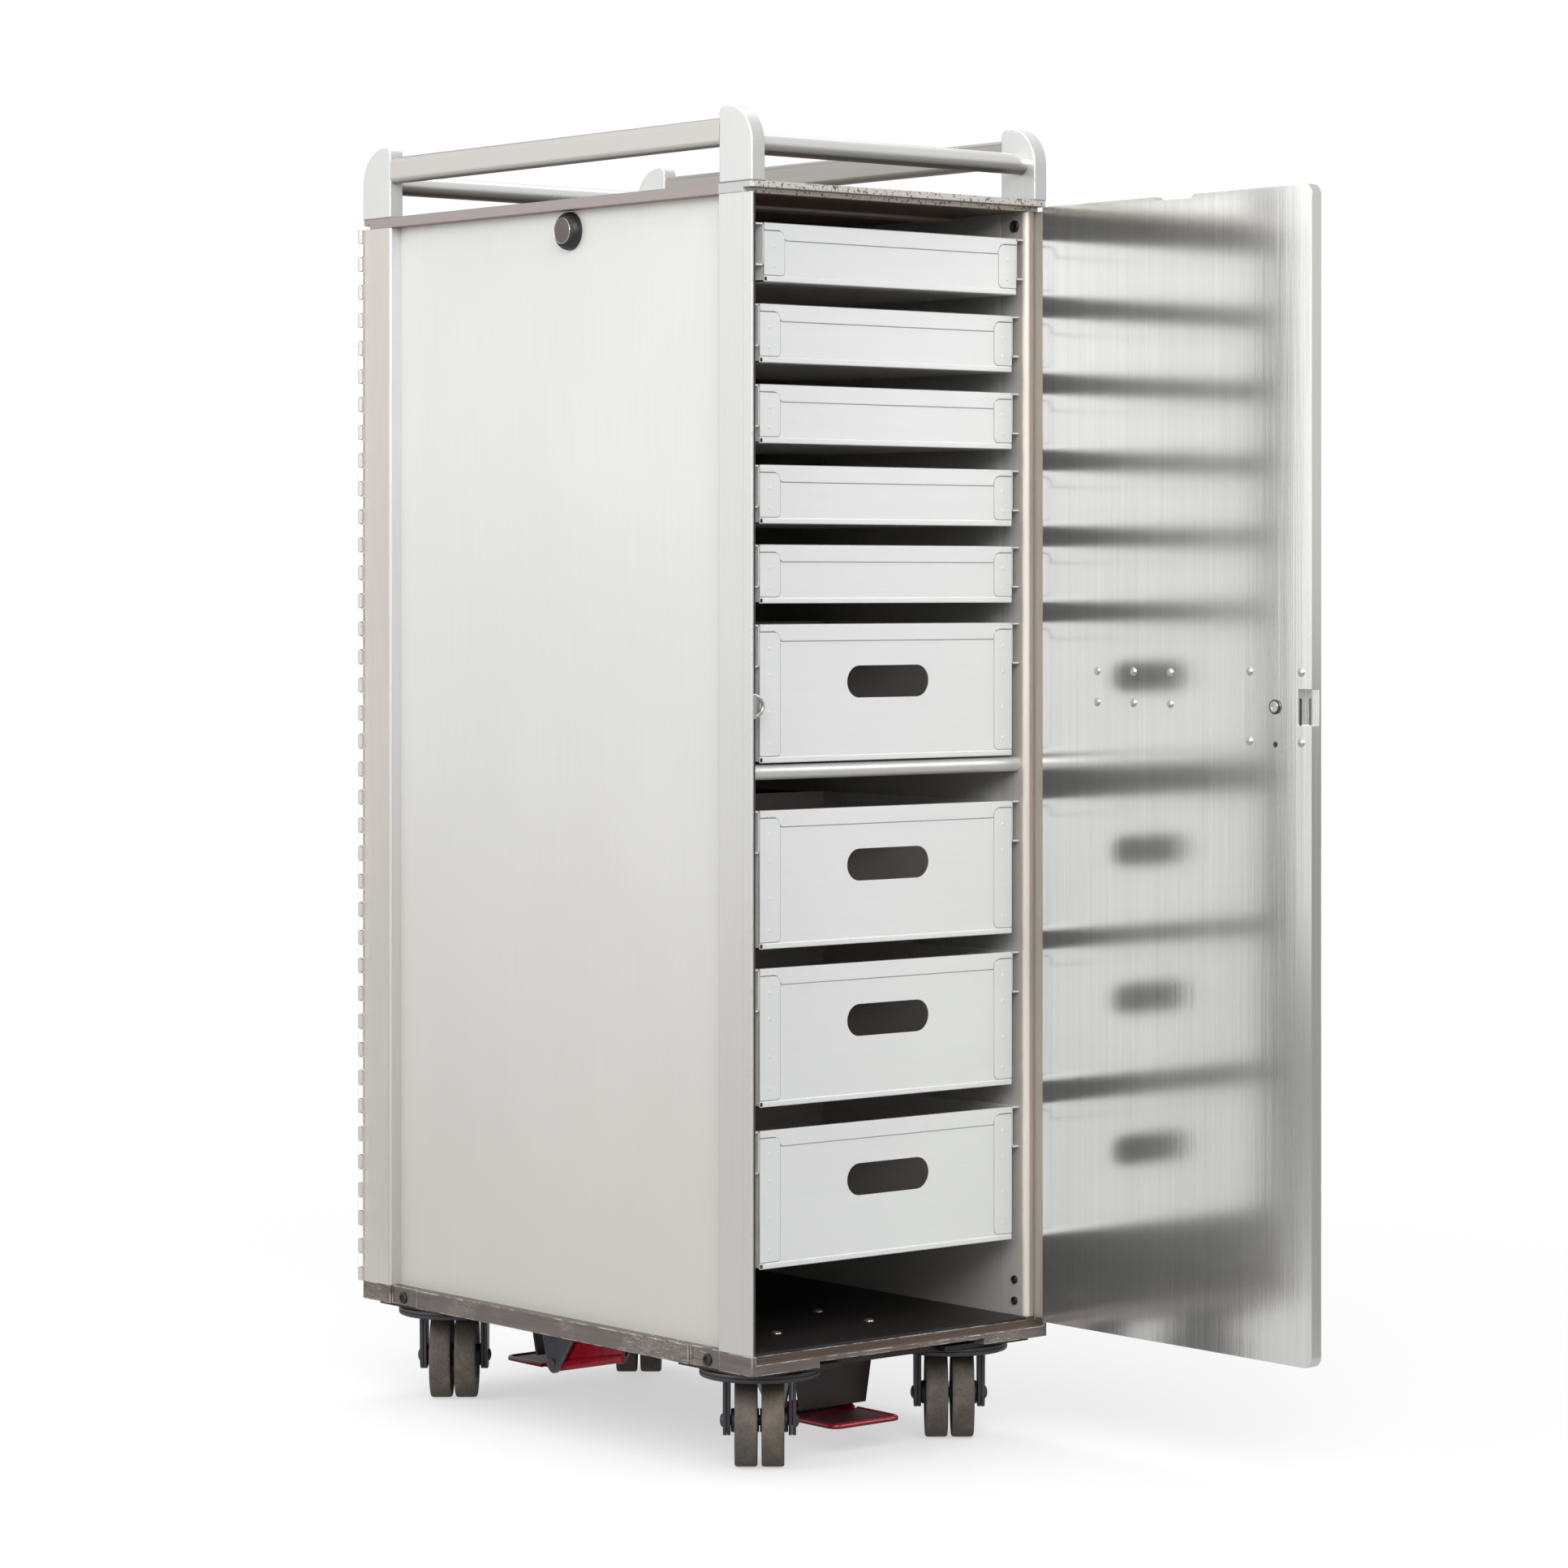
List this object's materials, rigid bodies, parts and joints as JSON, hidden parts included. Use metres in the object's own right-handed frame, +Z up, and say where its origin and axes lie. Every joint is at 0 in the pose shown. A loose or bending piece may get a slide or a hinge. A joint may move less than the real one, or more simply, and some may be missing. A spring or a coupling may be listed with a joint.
{
  "type": "airline galley cart",
  "caption": "Half-size galley trolley: folded metal cabinet with a hinged door at each end, pull-out drawers, top rail, swivel casters and foot brakes.",
  "frame": {"origin": "on the floor, under the middle of the cabinet", "axes": "+Z up; the front, where the drawers pull out, faces -Y; +X is to the right seen from the front"},
  "size_m": [0.3111, 0.8083, 1.03],
  "materials": {
    "base_metal": "scuffed mill finish",
    "floor_sheet": "dark worn sheet",
    "frame_metal": "satin anodised",
    "panel_sheet": "satin sheet",
    "door_sheet": "vertically brushed",
    "drawer_sheet": "satin anodised sheet",
    "guide_metal": "worn sheet",
    "steel_bits": "brushed",
    "dark_plastic": "matt",
    "card_plastic": "satin",
    "caster_steel": "satin grey paint",
    "bracket_steel": "grey paint",
    "dark_steel": "dark paint",
    "pedal_red": "glossy red paint",
    "tyre_rubber": "worn grey-brown rubber"
  },
  "bodies": {
    "cabinet": {"base_frame": "base_metal", "floor_panel": "floor_sheet", "top_deck": "frame_metal", "ceiling_beams": "frame_metal", "right_side_panel": "panel_sheet", "left_side_panel": "panel_sheet", "front_left_post": "frame_metal", "front_right_post": "frame_metal", "back_right_post": "frame_metal", "back_left_post": "frame_metal", "rail_posts": "frame_metal", "side_handrails": "frame_metal", "end_rail_tubes": "frame_metal", "right_guide_rails": "guide_metal", "left_guide_rails": "guide_metal", "cross_bars": "frame_metal", "latch_strikes": "steel_bits", "door_catches": "dark_plastic", "frame_screws": "steel_bits", "hinge_frame_leaves": "steel_bits", "hinge_pins": "steel_bits", "caster_plates": "caster_steel", "pedal_brackets": "bracket_steel", "pedal_crossmembers": "dark_steel"},
    "front_door": {"front_door_panel": "door_sheet", "front_hinge_leaf": "steel_bits", "front_door_rivets": "steel_bits", "front_lock_plate": "steel_bits", "front_card_holder": "card_plastic"},
    "front_latch": {"front_latch_lever": "steel_bits"},
    "front_brake": {"front_pedal": "pedal_red"},
    "back_door": {"back_door_panel": "door_sheet", "back_hinge_leaf": "steel_bits", "back_door_rivets": "steel_bits", "back_lock_plate": "steel_bits", "back_card_holder": "card_plastic"},
    "back_latch": {"back_latch_lever": "steel_bits"},
    "back_brake": {"back_pedal": "pedal_red"},
    "drawer_1": {"drawer_1": "drawer_sheet"},
    "drawer_2": {"drawer_2": "drawer_sheet"},
    "drawer_3": {"drawer_3": "drawer_sheet"},
    "drawer_4": {"drawer_4": "drawer_sheet"},
    "drawer_5": {"drawer_5": "drawer_sheet"},
    "drawer_6": {"drawer_6": "drawer_sheet"},
    "drawer_7": {"drawer_7": "drawer_sheet"},
    "drawer_8": {"drawer_8": "drawer_sheet"},
    "drawer_9": {"drawer_9": "drawer_sheet"},
    "front_left_caster": {"front_left_caster_yoke": "caster_steel"},
    "front_left_wheel_a": {"front_left_wheel_a": "tyre_rubber"},
    "front_left_wheel_b": {"front_left_wheel_b": "tyre_rubber"},
    "front_right_caster": {"front_right_caster_yoke": "caster_steel"},
    "front_right_wheel_a": {"front_right_wheel_a": "tyre_rubber"},
    "front_right_wheel_b": {"front_right_wheel_b": "tyre_rubber"},
    "back_left_caster": {"back_left_caster_yoke": "caster_steel"},
    "back_left_wheel_a": {"back_left_wheel_a": "tyre_rubber"},
    "back_left_wheel_b": {"back_left_wheel_b": "tyre_rubber"},
    "back_right_caster": {"back_right_caster_yoke": "caster_steel"},
    "back_right_wheel_a": {"back_right_wheel_a": "tyre_rubber"},
    "back_right_wheel_b": {"back_right_wheel_b": "tyre_rubber"}
  },
  "joints": [
    {"name": "front_door_hinge", "type": "hinge", "parent": "cabinet", "child": "front_door", "pos_m": [0.15125, -0.254, 0.53], "axis": [0, 0, 1], "range_deg": [-90, 180]},
    {"name": "back_door_hinge", "type": "hinge", "parent": "cabinet", "child": "back_door", "pos_m": [-0.15125, 0.254, 0.53], "axis": [0, 0, 1], "range_deg": [0, 270]},
    {"name": "front_latch_turn", "type": "hinge", "parent": "front_door", "child": "front_latch", "pos_m": [0.15, -0.51125, 0.58], "axis": [-1, 0, 0], "range_deg": [0, 90]},
    {"name": "back_latch_turn", "type": "hinge", "parent": "back_door", "child": "back_latch", "pos_m": [0.106, 0.255, 0.58], "axis": [0, 1, 0], "range_deg": [0, 90]},
    {"name": "front_brake_rock", "type": "hinge", "parent": "cabinet", "child": "front_brake", "pos_m": [0, -0.1435, 0.0275], "axis": [1, 0, 0], "range_deg": [0, 9]},
    {"name": "back_brake_rock", "type": "hinge", "parent": "cabinet", "child": "back_brake", "pos_m": [0, 0.1435, 0.0275], "axis": [-1, 0, 0], "range_deg": [0, 9]},
    {"name": "drawer_1_slide", "type": "slide", "parent": "cabinet", "child": "drawer_1", "axis": [0, -1, 0], "range_m": [-0.0052, 0.1848]},
    {"name": "drawer_2_slide", "type": "slide", "parent": "cabinet", "child": "drawer_2", "axis": [0, -1, 0], "range_m": [0, 0.19]},
    {"name": "drawer_3_slide", "type": "slide", "parent": "cabinet", "child": "drawer_3", "axis": [0, -1, 0], "range_m": [0, 0.19]},
    {"name": "drawer_4_slide", "type": "slide", "parent": "cabinet", "child": "drawer_4", "axis": [0, -1, 0], "range_m": [0, 0.19]},
    {"name": "drawer_5_slide", "type": "slide", "parent": "cabinet", "child": "drawer_5", "axis": [0, -1, 0], "range_m": [0, 0.19]},
    {"name": "drawer_6_slide", "type": "slide", "parent": "cabinet", "child": "drawer_6", "axis": [0, -1, 0], "range_m": [0, 0.19]},
    {"name": "drawer_7_slide", "type": "slide", "parent": "cabinet", "child": "drawer_7", "axis": [0, -1, 0], "range_m": [0, 0.19]},
    {"name": "drawer_8_slide", "type": "slide", "parent": "cabinet", "child": "drawer_8", "axis": [0, -1, 0], "range_m": [0, 0.19]},
    {"name": "drawer_9_slide", "type": "slide", "parent": "cabinet", "child": "drawer_9", "axis": [0, -1, 0], "range_m": [0, 0.19]},
    {"name": "front_left_swivel", "type": "hinge", "parent": "cabinet", "child": "front_left_caster", "pos_m": [-0.09685, -0.1974, 0.078], "axis": [0, 0, 1], "continuous": true},
    {"name": "front_left_wheel_a_spin", "type": "hinge", "parent": "front_left_caster", "child": "front_left_wheel_a", "pos_m": [-0.09685, -0.1974, 0.0348], "axis": [0.7672, -0.6414, 0], "continuous": true},
    {"name": "front_left_wheel_b_spin", "type": "hinge", "parent": "front_left_caster", "child": "front_left_wheel_b", "pos_m": [-0.09685, -0.1974, 0.0348], "axis": [0.7672, -0.6414, 0], "continuous": true},
    {"name": "front_right_swivel", "type": "hinge", "parent": "cabinet", "child": "front_right_caster", "pos_m": [0.09685, -0.1974, 0.078], "axis": [0, 0, 1], "continuous": true},
    {"name": "front_right_wheel_a_spin", "type": "hinge", "parent": "front_right_caster", "child": "front_right_wheel_a", "pos_m": [0.09685, -0.1974, 0.0348], "axis": [0.7672, -0.6414, 0], "continuous": true},
    {"name": "front_right_wheel_b_spin", "type": "hinge", "parent": "front_right_caster", "child": "front_right_wheel_b", "pos_m": [0.09685, -0.1974, 0.0348], "axis": [0.7672, -0.6414, 0], "continuous": true},
    {"name": "back_left_swivel", "type": "hinge", "parent": "cabinet", "child": "back_left_caster", "pos_m": [-0.09685, 0.1974, 0.078], "axis": [0, 0, 1], "continuous": true},
    {"name": "back_left_wheel_a_spin", "type": "hinge", "parent": "back_left_caster", "child": "back_left_wheel_a", "pos_m": [-0.09685, 0.1974, 0.0348], "axis": [0.7672, -0.6414, 0], "continuous": true},
    {"name": "back_left_wheel_b_spin", "type": "hinge", "parent": "back_left_caster", "child": "back_left_wheel_b", "pos_m": [-0.09685, 0.1974, 0.0348], "axis": [0.7672, -0.6414, 0], "continuous": true},
    {"name": "back_right_swivel", "type": "hinge", "parent": "cabinet", "child": "back_right_caster", "pos_m": [0.09685, 0.1974, 0.078], "axis": [0, 0, 1], "continuous": true},
    {"name": "back_right_wheel_a_spin", "type": "hinge", "parent": "back_right_caster", "child": "back_right_wheel_a", "pos_m": [0.09685, 0.1974, 0.0348], "axis": [0.7672, -0.6414, 0], "continuous": true},
    {"name": "back_right_wheel_b_spin", "type": "hinge", "parent": "back_right_caster", "child": "back_right_wheel_b", "pos_m": [0.09685, 0.1974, 0.0348], "axis": [0.7672, -0.6414, 0], "continuous": true}
  ],
  "couplings": [
    {"joint": "back_brake_rock", "follows": "front_brake_rock", "ratio": 1}
  ]
}
